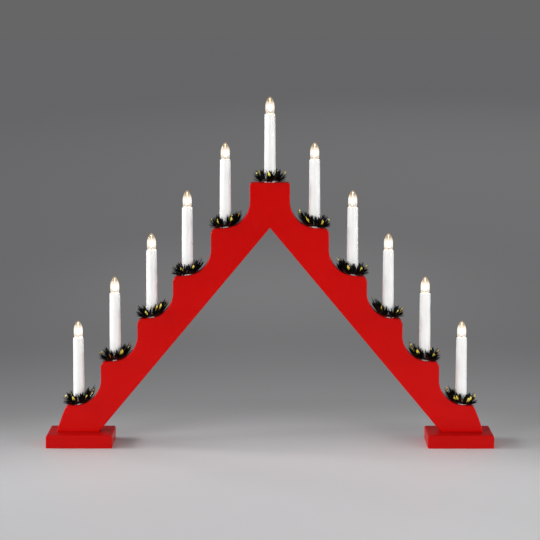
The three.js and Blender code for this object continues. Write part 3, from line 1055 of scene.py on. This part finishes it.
def makeWire():
    centre = grooveRun()
    parts = [tubeAlong(sideways(centre, side * wire["coreRadius"] * 1.04), wire["coreRadius"], 12)
             for side in (-1, 1)]
    for candle in candles:
        for side in (-1, 1):
            run = branchRun(candle, side * wire["branchRadius"] * 1.05)
            parts.append(tubeAlong(run, wire["branchRadius"], 10))
    pair = addPiece("lamp_wire_pair", *joinParts(parts), finishes["jacket"], 50)
    staples = []
    for side in (-1, 1):
        start = Vector((0, grooveY, grooveTopZ))
        end = Vector((side * grooveTurnX, grooveY, arch["grooveEndZ"]))
        along = (end - start).normalized()
        count = int((end - start).length // wire["stapleGap"])
        staples += [staple(start + along * wire["stapleGap"] * (k + 0.5), along) for k in range(count)]
    clips = addPiece("wire_staples", *joinParts(staples), finishes["steel"], 50)
    for piece, slot in ((pair, "wire_jacket"), (clips, "contact_tin")):
        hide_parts("lamp_wire")
        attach(piece, "root")


makeWire()
print("lamp wire made")


# The holders and contacts keep their frame shape and get their own finish

for candle in candles:
    for node, material in (("holder", finishes["holder"]), ("bulb_contact", finishes["tin"])):
        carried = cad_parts[f"{node}_{candle['number']}"]
        carried.data.materials.clear()
        carried.data.materials.append(material)


# Floor, world, lights and camera

studio = {
    "farGrey": (102, 102, 103),
    "floorGrey": (101.5, 101.5, 103),
    "paintedPoolGrey": (193, 193, 194.5),  # the middle of the pool of light painted on the floor
    "paintedPoolCentre": (0.06, -0.5),
    "paintedPoolWidthShare": 0.75,  # the painted pool of light is wider than it is deep
    # the painted pool of light's near and wide soft edge: share of its painted light, and how far out the edge
    # starts and ends
    "paintedPoolEdges": [(0.61, 0.35, 0.81), (0.39, 0.18, 1.5)],
    # painted light and painted shade, soft brighter or darker places: middle, reach to the side and in depth,
    # and how much painted light they add, or painted shade where it is below nought
    "paintedGlowsAndShades": [((0, 1.5), (0.75, 1.6), 0.04), ((1.0, 5), (3.5, 9), 0.03), ((-0.5, -0.6), (0.95, 0.75), -0.1)],
    "floorLight": 0.63,  # how brightly the softboxes light the floor, next to a colour as it is written
    "farBlend": (0.62, 0.85),  # how far out the lit floor starts and ends giving way to its plain colour
    "floorHalfSize": 60,
    "ambient": 0.12,
}


def makeFloor():
    half = studio["floorHalfSize"]
    finish = Finish("studio_floor", rough=0.5, specular=0.2)

    def distanceFrom(x, y, shareX, shareY):
        shifted = finish.node("ShaderNodeMapping", vector=finish.coordinates,
                              location=(-x * shareX, -y * shareY, 0), scale=(shareX, shareY, 1))
        return finish.combine("ShaderNodeVectorMath", "LENGTH", shifted.outputs[0])["Value"]

    def softEdge(fromCentre, light, start=0, end=1):
        return finish.node("ShaderNodeMapRange", {"interpolation_type": "SMOOTHSTEP"}, value=fromCentre,
                           fromMin=start, fromMax=end, toMin=light, toMax=0).outputs[0]

    # the floor's colour is a painted pool of light, pale near the object and fading to the far grey; further
    # out the camera sees the same painted colour as an emission
    distance = distanceFrom(*studio["paintedPoolCentre"], studio["paintedPoolWidthShare"], 1)
    near, wide = [softEdge(distance, *edge) for edge in studio["paintedPoolEdges"]]
    paintedPool = finish.combine("ShaderNodeMath", "ADD", near, wide)[0]
    shade = finish.ramp(paintedPool, [(0, colour(*studio["floorGrey"])), (1, colour(*studio["paintedPoolGrey"]))])
    # painted brighter places, and one painted darker place, added onto the floor's colour
    for (x, y), (reachX, reachY), light in studio["paintedGlowsAndShades"]:
        glow = softEdge(distanceFrom(x, y, 1 / reachX, 1 / reachY), light)
        shade = finish.combine("ShaderNodeVectorMath", "ADD", shade, glow)[0]
    paint = finish.node("ShaderNodeVectorMath", {"operation": "SCALE"}, scale=1 / studio["floorLight"])
    finish.links.new(shade, paint.inputs[0])
    finish.feed(base=paint.outputs[0])
    floor = addPiece("studio_floor", [(-half, -half, 0), (half, -half, 0), (half, half, 0), (-half, half, 0)],
                     [(0, 1, 2, 3)], finish.material, closed=False)
    seen = finish.node("ShaderNodeLightPath").outputs["Is Camera Ray"]
    far = finish.spread(distance, 0, 1, *studio["farBlend"])
    blendIn = finish.combine("ShaderNodeMath", "MULTIPLY", seen, far)[0]
    plain = finish.combine("ShaderNodeEmission", None, shade)[0]
    mix = finish.combine("ShaderNodeMixShader", None, blendIn, finish.shader.outputs[0], plain)[0]
    finish.links.new(mix, finish.nodes["Material Output"].inputs["Surface"])


def makeWorld():
    world = bpy.data.worlds.new("studio")
    bpy.context.scene.world = world
    world.use_nodes = True
    nodes, links = world.node_tree.nodes, world.node_tree.links
    output = nodes["World Output"]
    seen = nodes["Background"]
    seen.inputs["Color"].default_value = colour(*studio["farGrey"])
    ambient = nodes.new("ShaderNodeBackground")
    ambient.inputs["Color"].default_value = (1, 1, 1, 1)
    ambient.inputs["Strength"].default_value = studio["ambient"]
    path = nodes.new("ShaderNodeLightPath")
    isSeen = path.outputs["Is Camera Ray"]
    for ray in ("Is Glossy Ray", "Is Transmission Ray"):
        either = nodes.new("ShaderNodeMath")
        either.operation = "MAXIMUM"
        links.new(isSeen, either.inputs[0])
        links.new(path.outputs[ray], either.inputs[1])
        isSeen = either.outputs[0]
    mix = nodes.new("ShaderNodeMixShader")
    links.new(isSeen, mix.inputs[0])
    links.new(ambient.outputs[0], mix.inputs[1])
    links.new(seen.outputs[0], mix.inputs[2])
    links.new(mix.outputs[0], output.inputs["Surface"])


softLights = [
    # name, place, aim, width, height, power in watts
    ("frontLeftSoftbox", (-2.2, -2.65, 0.85), (0, 0, 0.25), 1.4, 0.9, 48),
    ("frontRightSoftbox", (2.2, -2.65, 0.6), (0, 0, 0.25), 1.4, 0.9, 41.5),
    ("leftSoftbox", (-3.4, -0.1, 1.55), (0, 0, 0.1), 2.0, 0.9, 92),
    ("rightSoftbox", (2.2, -0.3, 0.45), (0, 0, 0.3), 1.2, 0.7, 15),
    ("overheadSoftbox", (0, -1.1, 2.4), (0, 0, 0.2), 2.0, 1.2, 5.5),
    ("leftRimLight", (-1.7, 1.3, 0.6), (0, 0, 0.3), 0.25, 1.0, 6),
    ("rightRimLight", (1.7, 1.3, 0.6), (0, 0, 0.3), 0.25, 1.0, 1.2),
]


def makeLights():
    for name, place, aim, width, height, power in softLights:
        light = bpy.data.lights.new(name, "AREA")
        light.shape = "RECTANGLE"
        light.size, light.size_y = width, height
        light.energy = power
        holder = bpy.data.objects.new(name, light)
        holder.location = place
        holder.rotation_euler = (Vector(aim) - Vector(place)).to_track_quat("-Z", "Y").to_euler()
        bpy.context.scene.collection.objects.link(holder)


view = {
    "sensorWidth": 36,
    "lens": 126.32,
    "clipEnd": 300,
    "place": (0.0056, -2.7288, 0.6195),
    "tiltDown": 0.1321,
    "pan": 0.00203,
}


def makeCamera():
    data = bpy.data.cameras.new("camera")
    data.sensor_width = view["sensorWidth"]
    data.lens = view["lens"]
    data.clip_end = view["clipEnd"]
    camera = bpy.data.objects.new("camera", data)
    camera.location = view["place"]
    camera.rotation_euler = (math.pi / 2 - view["tiltDown"], 0, view["pan"])
    bpy.context.scene.collection.objects.link(camera)
    bpy.context.scene.camera = camera


makeFloor()
makeWorld()
makeLights()
makeCamera()
bpy.context.scene.view_settings.view_transform = "Standard"
print("studio made")
